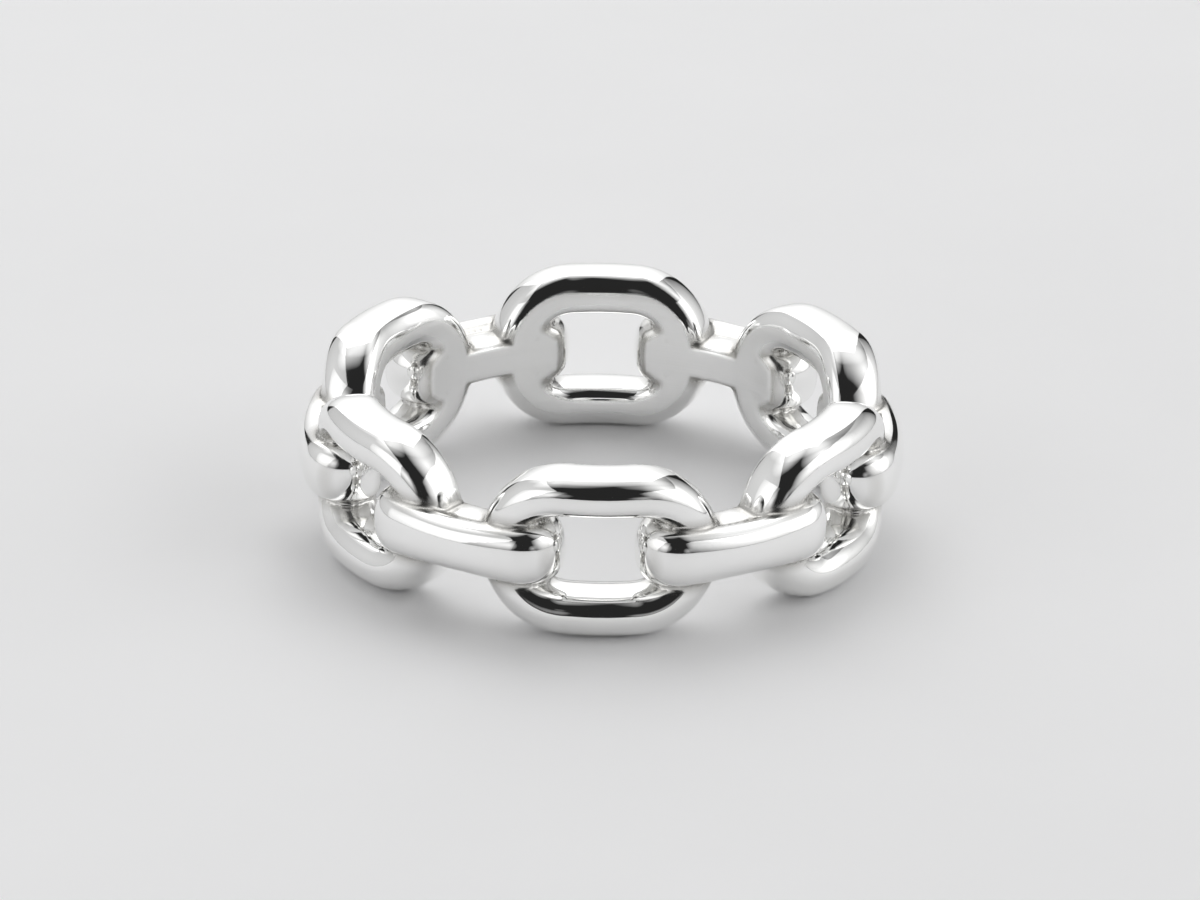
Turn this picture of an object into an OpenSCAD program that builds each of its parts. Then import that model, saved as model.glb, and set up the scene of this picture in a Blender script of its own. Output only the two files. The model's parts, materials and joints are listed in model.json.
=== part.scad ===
/* [Finger hole] */
// Inner diameter of the ring
finger_d = 17.3; // [15:0.1:20]

/* [Face links] */
// Number of face links round the ring, with as many connectors between them
link_count = 6; // [5:1:6]
// Length of a face link along the ring, over its wire
face_l = 9.0; // [8.2:0.1:9.6]
// Height of a face link, which is the width of the ring
face_h = 6.45; // [5.8:0.05:7.4]
// Thickness of its wire as seen from outside the ring
face_wire = 1.76; // [1.4:0.02:2]
// Thickness of its wire toward the finger, before the finger hole trims it
face_deep = 2.6; // [2.2:0.05:3]
// How far its wire stands out from the finger hole
face_out = 2.4; // [2.1:0.05:2.7]
// How far its wire dips toward the finger at the link's two ends
face_dip = 0.28; // [0:0.05:0.5]

/* [Connectors] */
// How far the outer bar stands out from the finger hole
outer_out = 2.8; // [2.5:0.05:3.2]
// Thickness of the outer bar toward the finger
outer_deep = 1.38; // [1.1:0.02:1.6]
// Height of the outer bar at its middle
outer_h = 1.94; // [1.6:0.02:2.3]
// Height of the heads, the round ends that turn in through the windows
head_h = 2.22; // [1.9:0.02:2.6]
// Radius of the outside of the turn from the outer bar to a head
turn_r = 1.68; // [1.4:0.02:2]
// Clear gap between the two heads in one window
head_gap = 2.5; // [1.9:0.1:3.1]
// How far the inner bar stands out from the finger hole
inner_out = 1.5; // [1.2:0.02:1.7]
// Thickness of the inner bar toward the finger, before the finger hole trims it
inner_deep = 1.86; // [1.7:0.02:2.2]
// Height of the inner bar
inner_h = 1.54; // [1.2:0.02:1.8]

/* [Roundness] */
// Sides of a wire's section
wire_sides = 12; // [8:2:14]
// Fullness of a wire's section: 1 is an ellipse, and less is squarer
wire_round = 0.85; // [0.8:0.05:1]
// Steps round each end of a face link
end_steps = 8; // [6:1:10]
// Steps round each head of a connector
turn_steps = 8; // [6:1:9]

/* [Hidden] */

finger_r = finger_d / 2;
pitch = 360 / link_count;
front = -90;

// Face link: middle of its wire, radius of its round ends, half of its straight bars
face_r = finger_r + face_out - face_deep / 2;
end_r = (face_h - face_wire) / 2;
straight = face_l / 2 - face_wire / 2 - end_r;
face_reach = straight + end_r;
bar_steps = 4;

// Outer bar: middle of its wire, and the turn, whose centre lies at this distance from the axis
outer_r = finger_r + outer_out - outer_deep / 2;
turn_mid = turn_r - outer_deep / 2;
turn_at = outer_r - turn_mid;
// Half thickness on the inside of the turn, kept clear of the turn's own centre
turn_inside = min(outer_deep / 2, 0.95 * turn_mid);
// Lengths along the ring from the bar's middle to the start of the turn and to the head
turn_from = arc_length(pitch / 2 - arc_angle(head_gap / 2, face_r), turn_at) - turn_r;
head_at = turn_from + turn_mid;
outer_steps = 4;

// Inner bar: middle of its wire
inner_r = finger_r + inner_out - inner_deep / 2;

cut_over = 1;
cut_sides = 120;

// Angle of a length of arc on a radius, and the length of an angle
function arc_angle(length, radius) = length / radius * 180 / PI;
function arc_length(angle, radius) = angle * PI / 180 * radius;

// Point at a length along a circle of the given radius, moved to its own distance from the axis
function on_ring(length, radius, from_axis, height) =
    let (a = arc_angle(length, radius))
    [from_axis * cos(a), from_axis * sin(a), height];

// Sine or cosine made fuller, for a squarer section
function full(v) = sign(v) * pow(abs(v), wire_round);

// Outline of a wire's section: outward from the axis, and across
function section(half_deep, half_across) = [
    for (i = [0:wire_sides - 1])
        let (a = 360 * i / wire_sides)
        [half_deep * full(cos(a)), half_across * full(sin(a))]
];

// Skin over a row of equal outlines, joined end to end or capped
module skin(rows, closed) {
    n = len(rows);
    m = len(rows[0]);
    last = closed ? n - 1 : n - 2;
    sides = [
        for (i = [0:last], j = [0:m - 1])
            let (k = (i + 1) % n, l = (j + 1) % m)
            each [[i * m + j, k * m + l, i * m + l], [i * m + j, k * m + j, k * m + l]]
    ];
    start_cap = [for (j = [0:m - 1]) j];
    end_cap = [for (j = [m - 1:-1:0]) (n - 1) * m + j];
    caps = closed ? [] : [start_cap, end_cap];
    polyhedron(points = [for (r = rows) each r], faces = concat(sides, caps), convexity = 6);
}

// Station of the face link's wire on one round end: place along, height, and the way outward
function end_station(side, a) = [side * straight + end_r * cos(a), end_r * sin(a), cos(a), sin(a)];

face_path = concat(
    [for (i = [0:end_steps]) end_station(1, -90 + 180 * i / end_steps)],
    [for (i = [1:bar_steps - 1]) [straight * (1 - 2 * i / bar_steps), end_r, 0, 1]],
    [for (i = [0:end_steps]) end_station(-1, 90 + 180 * i / end_steps)],
    [for (i = [1:bar_steps - 1]) [straight * (2 * i / bar_steps - 1), -end_r, 0, -1]]
);

// Upright open link with round ends, bent to the ring
module face_link() {
    wire = section(face_deep / 2, face_wire / 2);
    rows = [
        for (s = face_path)
            let (middle = face_r - face_dip * pow(s[0] / face_reach, 2))
            [for (p = wire) on_ring(s[0] + p[1] * s[2], face_r, middle + p[0], s[1] + p[1] * s[3])]
    ];
    skin(rows, true);
}

// Height of the outer bar's wire at a length from its middle, swelling toward the head
function outer_height(length) =
    let (share = min(1, abs(length) / head_at))
    outer_h + (head_h - outer_h) * share * share * (3 - 2 * share);

// Outline of the outer bar's wire at a length from its middle, turned toward the finger
function outer_row(length, turn) = [
    for (p = section(1, outer_height(length + turn_mid * sin(turn)) / 2))
        let (r = turn_mid + p[0] * (p[0] > 0 ? outer_deep / 2 : turn_inside))
        on_ring(length + r * sin(turn), turn_at, turn_at + r * cos(turn), p[1])
];

// Bar that passes outside two face links, with a round head at each end that turns back on the finger side
module outer_bar() {
    rows = concat(
        [for (i = [turn_steps:-1:1]) outer_row(turn_from, 180 * i / turn_steps)],
        [for (i = [outer_steps:-1:-outer_steps]) outer_row(turn_from * i / outer_steps, 0)],
        [for (i = [1:turn_steps]) outer_row(-turn_from, -180 * i / turn_steps)]
    );
    skin(rows, false);
}

// Bar on the finger side, from head to head
module inner_bar() {
    wire = section(inner_deep / 2, inner_h / 2);
    rows = [
        for (i = [outer_steps:-1:-outer_steps])
            [for (p = wire) on_ring(head_at * i / outer_steps, turn_at, inner_r + p[0], p[1])]
    ];
    skin(rows, false);
}

// Flat link that hooks through the ends of two face links
module connector() {
    outer_bar();
    inner_bar();
}

module links() {
    for (i = [0:link_count - 1]) {
        rotate([0, 0, front + pitch * i]) face_link();
        rotate([0, 0, front + pitch * (i + 0.5)]) connector();
    }
}

module finger_hole() {
    translate([0, 0, -face_h / 2 - cut_over])
        cylinder(h = face_h + 2 * cut_over, r = finger_r, $fn = cut_sides);
}

// All links soldered into one, at the full height of the face links, and trimmed to the finger hole
module ring() {
    color("silver")
        translate([0, 0, face_h / 2])
            difference() {
                resize([0, 0, face_h]) links();
                finger_hole();
            }
}

ring();
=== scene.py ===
"""A polished silver chain link ring, lying on its side on a pale floor."""
import json
from math import cos, pi, radians, sin, tan

import bpy
import numpy as np
from mathutils import Matrix, Vector
from mathutils.bvhtree import BVHTree


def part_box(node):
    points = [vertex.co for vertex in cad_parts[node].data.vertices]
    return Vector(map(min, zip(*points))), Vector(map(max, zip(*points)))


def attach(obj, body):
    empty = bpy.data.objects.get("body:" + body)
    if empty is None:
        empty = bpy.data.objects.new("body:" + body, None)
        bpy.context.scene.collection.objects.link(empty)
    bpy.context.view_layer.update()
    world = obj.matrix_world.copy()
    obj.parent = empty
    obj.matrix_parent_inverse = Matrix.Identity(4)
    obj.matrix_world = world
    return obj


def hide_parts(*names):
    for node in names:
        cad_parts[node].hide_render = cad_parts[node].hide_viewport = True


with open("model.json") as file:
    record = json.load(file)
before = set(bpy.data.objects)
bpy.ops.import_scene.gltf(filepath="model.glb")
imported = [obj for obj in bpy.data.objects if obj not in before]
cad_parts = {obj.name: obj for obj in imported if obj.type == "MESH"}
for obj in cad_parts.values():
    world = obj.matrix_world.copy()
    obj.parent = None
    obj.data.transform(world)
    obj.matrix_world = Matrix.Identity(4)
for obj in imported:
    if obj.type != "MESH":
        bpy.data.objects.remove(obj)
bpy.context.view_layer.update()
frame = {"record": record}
bpy.ops.object.select_all(action="DESELECT")

MM = 0.001

# Sizes of the ring, in metres. The finger hole and the ring's height come from the frame.
HOLE = frame["record"]["mounts"][0]
FINGER_R = HOLE["dims"]["r_mm"] * MM
RING_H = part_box("ring")[1].z
MID_H = RING_H / 2
LINK_COUNT = 6
PITCH = 2 * pi / LINK_COUNT

# Face link: its wire, then the middle of the wire, its round ends and half of its straight bars
FACE_LENGTH = 9.0 * MM
FACE_WIRE = 1.76 * MM
FACE_DEEP = 2.6 * MM
FACE_OUT = 2.4 * MM
FACE_DIP = 0.28 * MM
FACE_R = FINGER_R + FACE_OUT - FACE_DEEP / 2
END_R = (RING_H - FACE_WIRE) / 2
STRAIGHT = FACE_LENGTH / 2 - FACE_WIRE / 2 - END_R

# Outer bar of a connector: its wire, then the turns back to its heads
OUTER_OUT = 2.8 * MM
OUTER_DEEP = 1.38 * MM
OUTER_H = 1.94 * MM
HEAD_H = 2.22 * MM
TURN_R = 1.68 * MM
HEAD_GAP = 2.5 * MM
TURN_MID = TURN_R - OUTER_DEEP / 2
TURN_AT = FINGER_R + OUTER_OUT - OUTER_DEEP / 2 - TURN_MID
TURN_FROM = (PITCH / 2 - HEAD_GAP / 2 / FACE_R) * TURN_AT - TURN_R
HEAD_AT = TURN_FROM + TURN_MID

# Inner bar of a connector, which fills it from the finger hole out to the groove
INNER_OUT = 2.05 * MM
INNER_DEEP = 2.4 * MM
INNER_H = 1.64 * MM
INNER_R = FINGER_R + INNER_OUT - INNER_DEEP / 2

# How finely the wires are made, and how full their section is: 1 is an ellipse, less is squarer
WIRE_SIDES = 128
WIRE_ROUND = 0.85
END_STEPS = 96
BAR_STEPS = 24

# Points this near to each other are merged, and the finger hole's drill has this many sides
DOUBLES_GAP = 0.001 * MM
DRILL_SIDES = 360

# The fused ring: width of its faces and softness of its seams. The groove between a connector's
# bars is shallow, the seams round the heads are filled toward the finger, and the inner bars run
# flush into the wall of the finger hole.
GRAIN = 0.12 * MM
SEAM_SOFT = 0.14 * MM
GROOVE_SOFT = 0.3 * MM
FILLED_SOFT = 0.6 * MM
FILLED_DEEP = 0.7 * MM
FLUSH_SOFT = 0.01 * MM
FLUSH_DEEP = 0.3 * MM

# Softness of the finger hole's edges: beside a window, along a link's outer edge, on an inner bar
WINDOW_SOFT = 0.34 * MM
RIM_SOFT = 0.6 * MM
RIM_FROM = 0.3 * FACE_WIRE
BAR_SOFT = 0.14 * MM

# The polish: rounds, smoothing in each, how much it takes off, and how near a second wire has to
# be for the wheel to miss the metal between them, where the seams are rougher and get painted
# shade
POLISH_ROUNDS = 4
SMOOTH_STEPS = 3
SMOOTH_SHARE = 0.5
POLISHED_OFF = 0.01 * MM
RECESS_REACH = 0.5 * MM

# Satin wall of the finger hole: it fades into the polish between these depths from the hole
WALL_FROM = 0.02 * MM
WALL_TO = 0.06 * MM

# Colours. Silver and board each vary faintly between two.
SILVER_LIGHT = (0.97, 0.97, 0.965, 1)
SILVER_WARM = (0.945, 0.945, 0.935, 1)
# Painted shade: the silver darkens to this grey in the seams between wires
SEAM_SHADE_GREY = (0.5, 0.49, 0.465, 1)
BOARD_GREY = (0.895, 0.895, 0.9, 1)
BOARD_LIGHT = (0.915, 0.915, 0.92, 1)
ROOM_GREY = (0.02, 0.02, 0.02, 1)

# Roughness of each finish, at its smoothest and its roughest
HAZE_ROUGH = (0.035, 0.07)
SATIN_ROUGH = (0.36, 0.46)
CAST_ROUGH = (0.25, 0.42)
BOARD_ROUGH = 0.7

# Grains to the metre of each pattern. A second number is the count upward, for fine lines.
HAZE_GRAINS = 450
SATIN_GRAINS = (160, 9000)
CAST_GRAINS = 2500
TONE_GRAINS = 300
LINE_GRAINS = (220, 14000)
HAND_GRAINS = 520
CLOUD_GRAINS = 60
FIBRE_GRAINS = 4000

# The part of a noise's range that a finish spreads over, and a narrower one for silver's tone
NOISE_SPAN = (0.3, 0.7)
TONE_SPAN = (0.35, 0.65)

# Strength and depth of the bumps: lines on the satin wall, hand polish, and fibres of the board
LINE_BUMP = (0.35, 0.02 * MM)
HAND_BUMP = (0.5, 0.01 * MM)
FIBRE_BUMP = (0.1, 0.02 * MM)

# The photo's frame in pixels, and where the middle of the ring's height stands in it
PHOTO_W = 1200
PHOTO_H = 900
CENTRE_X = 600.9
CENTRE_Y = 443.3
PIXELS_PER_METRE = 26470

# The camera: degrees above the ring, degrees round it, its roll, distance, near limit and sensor
CAMERA_UP = 23.6
CAMERA_TURN = -0.25
CAMERA_ROLL = 1.0
CAMERA_AWAY = 270 * MM
CAMERA_NEAR = 10 * MM
SENSOR = 36

# Width of the floor, and how far the light panels stand from the ring, in metres
FLOOR_W = 2.0
PANEL_AWAY = 0.4


def choose(*pieces):
    """Selects these pieces and nothing else, with the first one active."""
    bpy.ops.object.select_all(action="DESELECT")
    for piece in pieces:
        piece.select_set(True)
    bpy.context.view_layer.objects.active = pieces[0]


def apply_modifier(piece, kind, **settings):
    """Adds a modifier, sets it up and applies it."""
    choose(piece)
    modifier = piece.modifiers.new(kind.lower(), kind)
    for key, value in settings.items():
        setattr(modifier, key, value)
    bpy.ops.object.modifier_apply(modifier=modifier.name)


def full(value):
    """A sine or cosine made fuller, for a squarer section."""
    return abs(value) ** WIRE_ROUND * (1 if value > 0 else -1)


def wire_start(name, place, half_deep, half_across):
    """A wire's section across the X axis, as a closed outline in edit mode, all selected."""
    bpy.ops.mesh.primitive_circle_add(
        vertices=WIRE_SIDES, radius=1, fill_type="NOTHING", rotation=(0, pi / 2, 0)
    )
    wire = bpy.context.object
    wire.name = name
    bpy.ops.object.transform_apply(location=False, rotation=True, scale=False)
    for vertex in wire.data.vertices:
        _, deep, across = vertex.co
        vertex.co = Vector(place) + Vector((0, full(deep) * half_deep, full(across) * half_across))
    bpy.ops.object.mode_set(mode="EDIT")
    bpy.ops.mesh.select_all(action="SELECT")
    return wire


def run_on(distance, steps):
    """The selected outline runs on along X in equal steps."""
    for _ in range(steps):
        bpy.ops.mesh.extrude_edges_move(
            TRANSFORM_OT_translate={"value": (distance / steps, 0, 0)}
        )


def close_up():
    """Merges doubles, caps open ends, turns the faces outward and leaves edit mode."""
    bpy.ops.mesh.select_all(action="SELECT")
    bpy.ops.mesh.remove_doubles(threshold=DOUBLES_GAP)
    bpy.ops.mesh.fill_holes(sides=0)
    bpy.ops.mesh.normals_make_consistent(inside=False)
    bpy.ops.object.mode_set(mode="OBJECT")


def bend_round(piece, radius):
    """Bends a straight piece along X round the finger hole's axis, its middle toward -Y."""
    along = [v.co.x for v in piece.data.vertices]
    apply_modifier(
        piece,
        "SIMPLE_DEFORM",
        deform_method="BEND",
        deform_axis="Z",
        angle=(max(along) - min(along)) / radius,
    )
    piece.data.transform(Matrix.Translation((0, -radius, MID_H)))


def face_link():
    """Upright open link: two round ends spun, two bars between them, bent round the ring."""
    link = wire_start("face_link", (STRAIGHT, 0, -END_R), FACE_DEEP / 2, FACE_WIRE / 2)
    bpy.ops.mesh.spin(steps=END_STEPS, angle=pi, center=(STRAIGHT, 0, 0), axis=(0, 1, 0))
    run_on(-2 * STRAIGHT, BAR_STEPS)
    bpy.ops.mesh.spin(steps=END_STEPS, angle=pi, center=(-STRAIGHT, 0, 0), axis=(0, 1, 0))
    run_on(2 * STRAIGHT, BAR_STEPS)
    close_up()
    for vertex in link.data.vertices:
        vertex.co.y += FACE_DIP * (vertex.co.x / (STRAIGHT + END_R)) ** 2
    bend_round(link, FACE_R)
    return link


def swell(length):
    """Height of the outer bar's wire, against its middle, at a length from there."""
    share = min(1, abs(length) / HEAD_AT)
    return 1 + (HEAD_H / OUTER_H - 1) * share * share * (3 - 2 * share)


def connector():
    """Flat link: an outer bar that turns back at both heads, and an inner bar."""
    bar = wire_start("outer_bar", (-TURN_FROM, TURN_MID, 0), OUTER_DEEP / 2, OUTER_H / 2)
    bpy.ops.mesh.spin(steps=END_STEPS, angle=pi, center=(-TURN_FROM, 0, 0), axis=(0, 0, -1))
    run_on(2 * TURN_FROM, BAR_STEPS)
    bpy.ops.mesh.spin(steps=END_STEPS, angle=pi, center=(TURN_FROM, 0, 0), axis=(0, 0, -1))
    close_up()
    for vertex in bar.data.vertices:
        vertex.co.z *= swell(vertex.co.x)
    bend_round(bar, TURN_AT)
    inner = wire_start(
        "inner_bar", (-HEAD_AT, TURN_AT - INNER_R, 0), INNER_DEEP / 2, INNER_H / 2
    )
    run_on(2 * HEAD_AT, BAR_STEPS)
    close_up()
    bend_round(inner, TURN_AT)
    return bar, inner


def turned_copy(piece, angle):
    """A copy of the piece with its own mesh, turned round the finger hole's axis."""
    copy = piece.copy()
    copy.data = piece.data.copy()
    copy.data.transform(Matrix.Rotation(angle, 4, "Z"))
    bpy.context.collection.objects.link(copy)
    return copy


def fused_ring(link, bar, inner):
    """All links in their places, fused into one skin and trimmed to the finger hole."""
    turned = []
    for i in range(LINK_COUNT):
        turned.append(turned_copy(link, i * PITCH))
        turned += [turned_copy(piece, (i + 0.5) * PITCH) for piece in (bar, inner)]
    choose(*turned)
    bpy.ops.object.join()
    ring = bpy.context.object
    ring.name = ring.data.name = "chain_ring"
    apply_modifier(ring, "REMESH", mode="VOXEL", voxel_size=GRAIN, adaptivity=0)
    bpy.ops.mesh.primitive_cylinder_add(
        vertices=DRILL_SIDES, radius=FINGER_R, depth=2 * RING_H, location=(0, 0, MID_H)
    )
    drill = bpy.context.object
    apply_modifier(ring, "BOOLEAN", object=drill, operation="DIFFERENCE", solver="MANIFOLD")
    bpy.data.objects.remove(drill)
    apply_modifier(ring, "REMESH", mode="VOXEL", voxel_size=GRAIN, adaptivity=0)
    return ring


def turn_points(points, angles):
    """Points turned round the Z axis, each by its own angle."""
    c, s = np.cos(angles), np.sin(angles)
    x, y = points[:, 0], points[:, 1]
    return np.column_stack((c * x - s * y, s * x + c * y, points[:, 2]))


def link_angles(points):
    """Angle round the ring, from its front, of each point and of the face link nearest to it."""
    angle = np.arctan2(points[:, 1], points[:, 0]) + pi / 2
    return angle, np.round(angle / PITCH) * PITCH


def from_surface(tree, points):
    """Signed distance of each point from a closed skin, and the way straight out of it.
    A point beside a cap's rim has its nearest place on the rim and counts as outside."""
    gap = np.empty(len(points))
    out = np.empty((len(points), 3))
    for i, point in enumerate(points):
        near, normal, _, distance = tree.find_nearest(Vector(point))
        inside = (Vector(point) - near).dot(normal) < -distance / 2
        gap[i] = -distance if inside else distance
        out[i] = normal
    return gap, out


def wire_distances(points, trees):
    """Signed distances from the nearest link, outer bar and inner bar, and the ways out."""
    angle, to_link = link_angles(points)
    to_connector = (np.floor(angle / PITCH) + 0.5) * PITCH
    skins = []
    for tree, turn in zip(trees, (to_link, to_connector, to_connector)):
        gap, out = from_surface(tree, turn_points(points, -turn))
        skins.append((gap, turn_points(out, turn)))
    return skins


def leaned(first, second, soft):
    """The first signed distance and its ways out, filled toward the second where both are near."""
    (a, a_out), (b, b_out) = first, second
    nearness = np.clip(soft - np.abs(a - b), 0, None) / soft
    share = nearness[:, None] / 2
    return a - nearness * nearness * soft / 4, a_out * (1 - share) + b_out * share


def soft_union(first, second, soft):
    """Two signed distances and their ways out as one, with a soft seam where they meet."""
    a, b = leaned(first, second, soft), leaned(second, first, soft)
    return np.minimum(a[0], b[0]), np.where((a[0] < b[0])[:, None], a[1], b[1])


def trimmed(skin, hole, soft):
    """A signed distance and its ways out, cut by the hole's, with a soft edge."""
    gap, out = soft_union((-skin[0], -skin[1]), hole, soft)
    return -gap, -out


def ring_skin(points, skins):
    """Signed distance from the whole ring and the ways out, from those of its three wires.
    A seam is softer near the finger hole, and the hole's edge is softer on a link's outer edge."""
    link, bar, inner = skins
    radius = np.hypot(points[:, 0], points[:, 1])
    deep = radius - FINGER_R
    hole = (deep, points * (1, 1, 0) / radius[:, None])
    angle, link_angle = link_angles(points)
    along = abs(angle - link_angle) * FACE_R
    off_middle = np.hypot(np.clip(along - STRAIGHT, 0, None), points[:, 2] - MID_H) - END_R
    seam = np.interp(deep, (0, FILLED_DEEP), (FILLED_SOFT, SEAM_SOFT))
    edge = np.interp(off_middle, (0, RIM_FROM), (WINDOW_SOFT, RIM_SOFT))
    flush = np.interp(deep, (0, FLUSH_DEEP), (FLUSH_SOFT, SEAM_SOFT))
    hooked = trimmed(soft_union(link, leaned(bar, inner, GROOVE_SOFT), seam), hole, edge)
    inside = trimmed(leaned(inner, bar, GROOVE_SOFT), hole, BAR_SOFT)
    return soft_union(hooked, inside, flush)


def polish(ring, link, bar, inner):
    """Brings the fused skin onto the links' own surfaces, with soft seams and hole edges.
    The attribute recess is 1 in a seam, where no polishing wheel reaches, and 0 away from it. It
    makes the seams rougher, and greys them as painted shade."""
    trees = [
        BVHTree.FromPolygons([v.co for v in m.vertices], [p.vertices for p in m.polygons])
        for m in (link.data, bar.data, inner.data)
    ]
    places = np.empty(len(ring.data.vertices) * 3)
    for _ in range(POLISH_ROUNDS):
        apply_modifier(ring, "SMOOTH", factor=SMOOTH_SHARE, iterations=SMOOTH_STEPS)
        ring.data.vertices.foreach_get("co", places)
        points = places.reshape(-1, 3)
        skins = wire_distances(points, trees)
        gap, out = ring_skin(points, skins)
        gap += POLISHED_OFF
        points -= gap[:, None] * out / np.sum(out * out, axis=1)[:, None]
        ring.data.vertices.foreach_set("co", places)
    # Near a second wire the silver is rougher and greyed with painted shade
    second_wire = np.sort([gap for gap, _ in skins], axis=0)[1]
    recess = ring.data.attributes.new("recess", "FLOAT", "POINT")
    recess.data.foreach_set("value", np.clip(1 - second_wire / RECESS_REACH, 0, 1))
    ring.data.update()


def make_ring():
    """The whole ring as one piece, its links fused, polished and shaded smooth."""
    link = face_link()
    bar, inner = connector()
    ring = fused_ring(link, bar, inner)
    polish(ring, link, bar, inner)
    for piece in (link, bar, inner):
        bpy.data.objects.remove(piece)
    choose(ring)
    bpy.ops.object.shade_smooth()
    return ring


class Nodes:
    """A material's node tree, with a short way to add and link its nodes."""

    def __init__(self, name):
        self.material = bpy.data.materials.new(name)
        self.material.use_nodes = True
        self.tree = self.material.node_tree
        self.shader = self.tree.nodes["Principled BSDF"]
        self.place = self.add("ShaderNodeTexCoord").outputs["Object"]

    def add(self, kind, inputs=None, **settings):
        """Adds a node with its settings and its inputs."""
        node = self.tree.nodes.new(kind)
        for key, value in settings.items():
            setattr(node, key, value)
        for key, value in (inputs or {}).items():
            self.put(node.inputs[key], value)
        return node

    def put(self, socket, value):
        """Links a socket to another node's output, or sets it to a plain value."""
        if isinstance(value, bpy.types.NodeSocket):
            self.tree.links.new(value, socket)
        else:
            socket.default_value = value

    def shade(self, name, value):
        """Sets or links one of the shader's own inputs."""
        self.put(self.shader.inputs[name], value)

    def noise(self, grains, upward=None, detail=3.0):
        """Noise with so many grains to the metre, and with a count of its own upward if given."""
        stretch = (grains, grains, upward or grains)
        scaled = self.add("ShaderNodeMapping", {"Vector": self.place, "Scale": stretch})
        return self.add(
            "ShaderNodeTexNoise", {"Vector": scaled.outputs[0], "Scale": 1.0, "Detail": detail}
        ).outputs["Fac"]

    def ranged(self, value, span, ends):
        """A value that crosses the span, turned into one that goes from one end to the other."""
        inputs = {
            "Value": value,
            "From Min": span[0],
            "From Max": span[1],
            "To Min": ends[0],
            "To Max": ends[1],
        }
        return self.add("ShaderNodeMapRange", inputs).outputs[0]

    def mixed(self, share, a, b, kind="FLOAT"):
        """Value a where the share is 0 and b where it is 1. The kind RGBA mixes colours."""
        socket_type = "VALUE" if kind == "FLOAT" else kind
        node = self.add("ShaderNodeMix", {"Factor": share}, data_type=kind)
        sockets = [s for s in node.inputs if s.name in ("A", "B") and s.type == socket_type]
        for socket, value in zip(sockets, (a, b)):
            self.put(socket, value)
        return next(s for s in node.outputs if s.type == socket_type)

    def bump(self, height, strength, distance, under=None):
        """The way out of the surface, tilted by a height, over another bump if one is given."""
        node = self.add(
            "ShaderNodeBump", {"Height": height, "Strength": strength, "Distance": distance}
        )
        if under is not None:
            self.put(node.inputs["Normal"], under)
        return node.outputs[0]


def silver():
    """Mirror polish outside, satin on the wall of the finger hole, rougher in the seams, which are
    greyed with painted shade.
    """
    m = Nodes("silver")
    split = m.add("ShaderNodeSeparateXYZ", {"Vector": m.place})
    flat = m.add("ShaderNodeCombineXYZ", {"X": split.outputs["X"], "Y": split.outputs["Y"]})
    radius = m.add("ShaderNodeVectorMath", {0: flat.outputs[0]}, operation="LENGTH")
    wall_span = (FINGER_R + WALL_FROM, FINGER_R + WALL_TO)
    wall = m.ranged(radius.outputs["Value"], wall_span, (1.0, 0.0))
    # Seams, kept off the satin wall: rougher there, and darkened with painted shade
    recess = m.add("ShaderNodeAttribute", attribute_name="recess").outputs["Fac"]
    seam = m.mixed(wall, recess, 0.0)

    haze = m.ranged(m.noise(HAZE_GRAINS), NOISE_SPAN, HAZE_ROUGH)
    cast = m.ranged(m.noise(CAST_GRAINS), NOISE_SPAN, CAST_ROUGH)
    satin = m.ranged(m.noise(*SATIN_GRAINS), NOISE_SPAN, SATIN_ROUGH)
    m.shade("Roughness", m.mixed(wall, m.mixed(seam, haze, cast), satin))
    tone = m.ranged(m.noise(TONE_GRAINS, detail=2.0), TONE_SPAN, (0.0, 1.0))
    bright = m.mixed(tone, SILVER_LIGHT, SILVER_WARM, "RGBA")
    # Painted shade: the seams between wires are greyed in the base colour
    m.shade("Base Color", m.mixed(seam, bright, SEAM_SHADE_GREY, "RGBA"))
    m.shade("Metallic", 1.0)

    lines = m.noise(*LINE_GRAINS, detail=2.0)
    on_wall = m.add("ShaderNodeMath", {0: wall, 1: lines}, operation="MULTIPLY").outputs[0]
    brushed = m.bump(on_wall, *LINE_BUMP)
    m.shade("Normal", m.bump(m.noise(HAND_GRAINS, detail=1.0), *HAND_BUMP, under=brushed))
    return m.material


def pale_board():
    """Matt board with a faint cloudiness and fine fibres."""
    m = Nodes("pale_board")
    tone = m.ranged(m.noise(CLOUD_GRAINS), NOISE_SPAN, (0.0, 1.0))
    m.shade("Base Color", m.mixed(tone, BOARD_GREY, BOARD_LIGHT, "RGBA"))
    m.shade("Roughness", BOARD_ROUGH)
    m.shade("Normal", m.bump(m.noise(FIBRE_GRAINS), *FIBRE_BUMP))
    return m.material


def pale_floor():
    """Smooth floor, wide enough to fill the view and the reflections."""
    bpy.ops.mesh.primitive_plane_add(size=FLOOR_W)
    floor = bpy.context.object
    floor.name = floor.data.name = "floor"
    floor.data.materials.append(pale_board())


def direction(azimuth, elevation):
    """A way from the ring: azimuth in degrees from the camera's side, positive to the right."""
    a, e = radians(azimuth), radians(elevation)
    return Vector((sin(a) * cos(e), -cos(a) * cos(e), sin(e)))


def panel(name, toward, size, spread, brightness):
    """A soft light panel facing the ring, at an azimuth and elevation, of a width and height.
    At brightness 1 its middle looks white in silver. It fades when seen from beside, and is dark
    from half of the spread on, which is in degrees."""
    width, height = size
    light = bpy.data.lights.new(name, "AREA")
    light.shape = "RECTANGLE"
    light.size = width
    light.size_y = height
    light.spread = radians(spread)
    half = light.spread / 2
    light.energy = brightness * pi * width * height * (1 - half / tan(half))
    lamp = bpy.data.objects.new(name, light)
    way = direction(*toward)
    lamp.location = way * PANEL_AWAY + Vector((0, 0, MID_H))
    lamp.rotation_euler = (-way).to_track_quat("-Z", "Y").to_euler()
    bpy.context.collection.objects.link(lamp)


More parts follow.
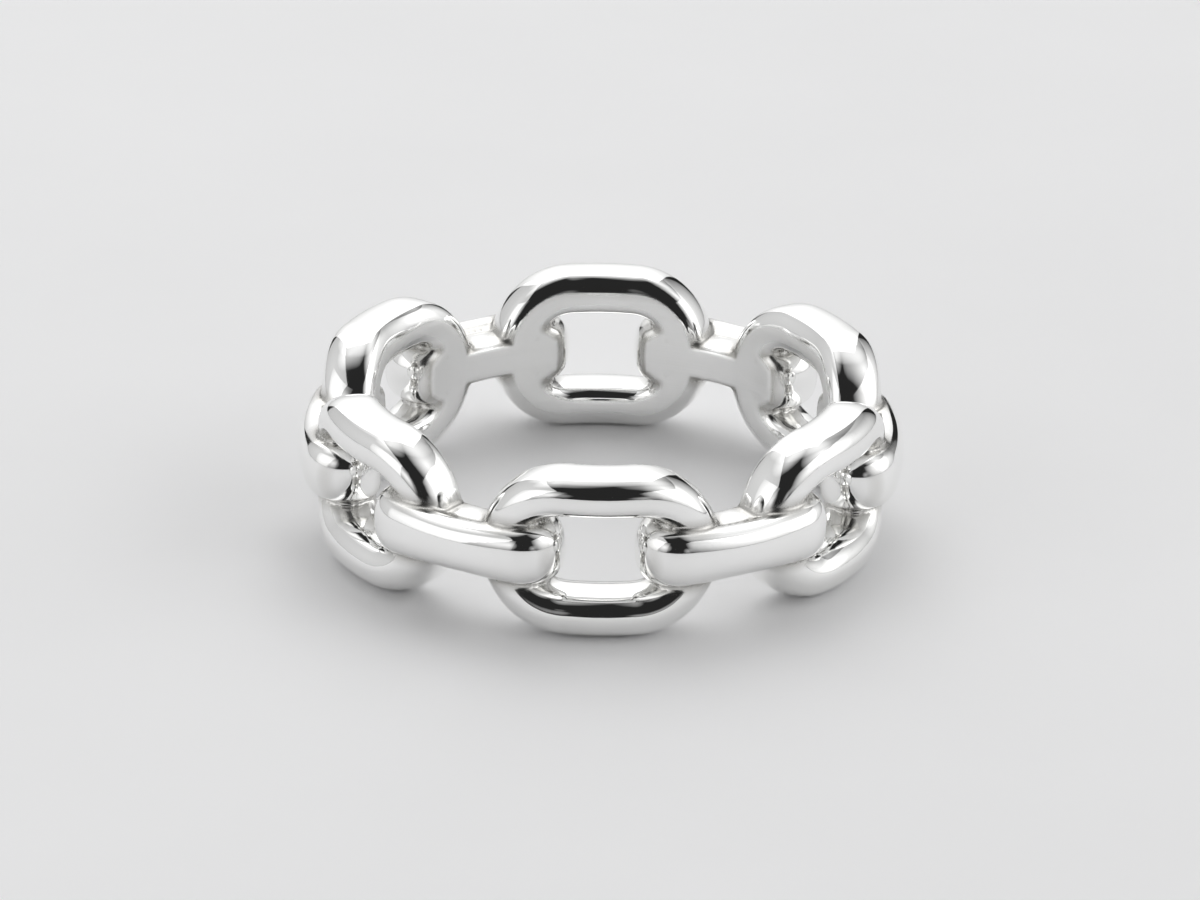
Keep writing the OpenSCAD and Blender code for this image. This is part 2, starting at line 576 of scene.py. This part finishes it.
def camera():
    """The photo's view: a long lens, a little above the ring, turned by a small roll."""
    lens = bpy.data.cameras.new("camera")
    lens.sensor_width = SENSOR
    lens.lens = SENSOR * PIXELS_PER_METRE * CAMERA_AWAY / PHOTO_W
    lens.shift_x = (PHOTO_W / 2 - CENTRE_X) / PHOTO_W
    lens.shift_y = (CENTRE_Y - PHOTO_H / 2) / PHOTO_W
    lens.clip_start = CAMERA_NEAR
    eye = bpy.data.objects.new("camera", lens)
    way = direction(CAMERA_TURN, CAMERA_UP)
    eye.location = way * CAMERA_AWAY + Vector((0, 0, MID_H))
    roll = Matrix.Rotation(radians(CAMERA_ROLL), 4, "Z")
    eye.rotation_euler = ((-way).to_track_quat("-Z", "Y").to_matrix().to_4x4() @ roll).to_euler()
    bpy.context.collection.objects.link(eye)
    bpy.context.scene.camera = eye


def dark_room():
    """The dim surroundings of the panels."""
    world = bpy.data.worlds.new("room")
    world.use_nodes = True
    world.node_tree.nodes["Background"].inputs["Color"].default_value = ROOM_GREY
    bpy.context.scene.world = world


bpy.context.scene.view_settings.view_transform = "Standard"
camera()
ring = make_ring()
ring.data.materials.clear()
ring.data.materials.append(silver())
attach(ring, "root")
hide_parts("ring")
pale_floor()

panel("right_panel", toward=(68.6, 23.5), size=(1.11, 0.347), spread=84, brightness=1.46)
panel("left_panel", toward=(-56.2, 20.6), size=(0.50, 0.30), spread=78, brightness=0.78)
panel("back_panel", toward=(186.5, 36.6), size=(0.377, 0.594), spread=109, brightness=1.39)
panel("top_panel", toward=(180, 60), size=(0.62, 0.62), spread=76, brightness=1.21)
panel("right_rear_panel", toward=(112, 20.1), size=(0.70, 0.293), spread=93, brightness=1.0)
panel("left_rear_panel", toward=(-95.6, 31.6), size=(0.92, 0.492), spread=158, brightness=0.67)
panel("right_high_panel", toward=(90, 51), size=(0.576, 0.576), spread=72, brightness=1.11)
panel("left_high_panel", toward=(-94, 70.6), size=(0.373, 0.373), spread=50, brightness=0.69)
panel("left_low_panel", toward=(-32, 16), size=(0.26, 0.26), spread=36, brightness=0.62)
panel("right_low_panel", toward=(24, 7), size=(0.16, 0.16), spread=22, brightness=0.4)
dark_room()
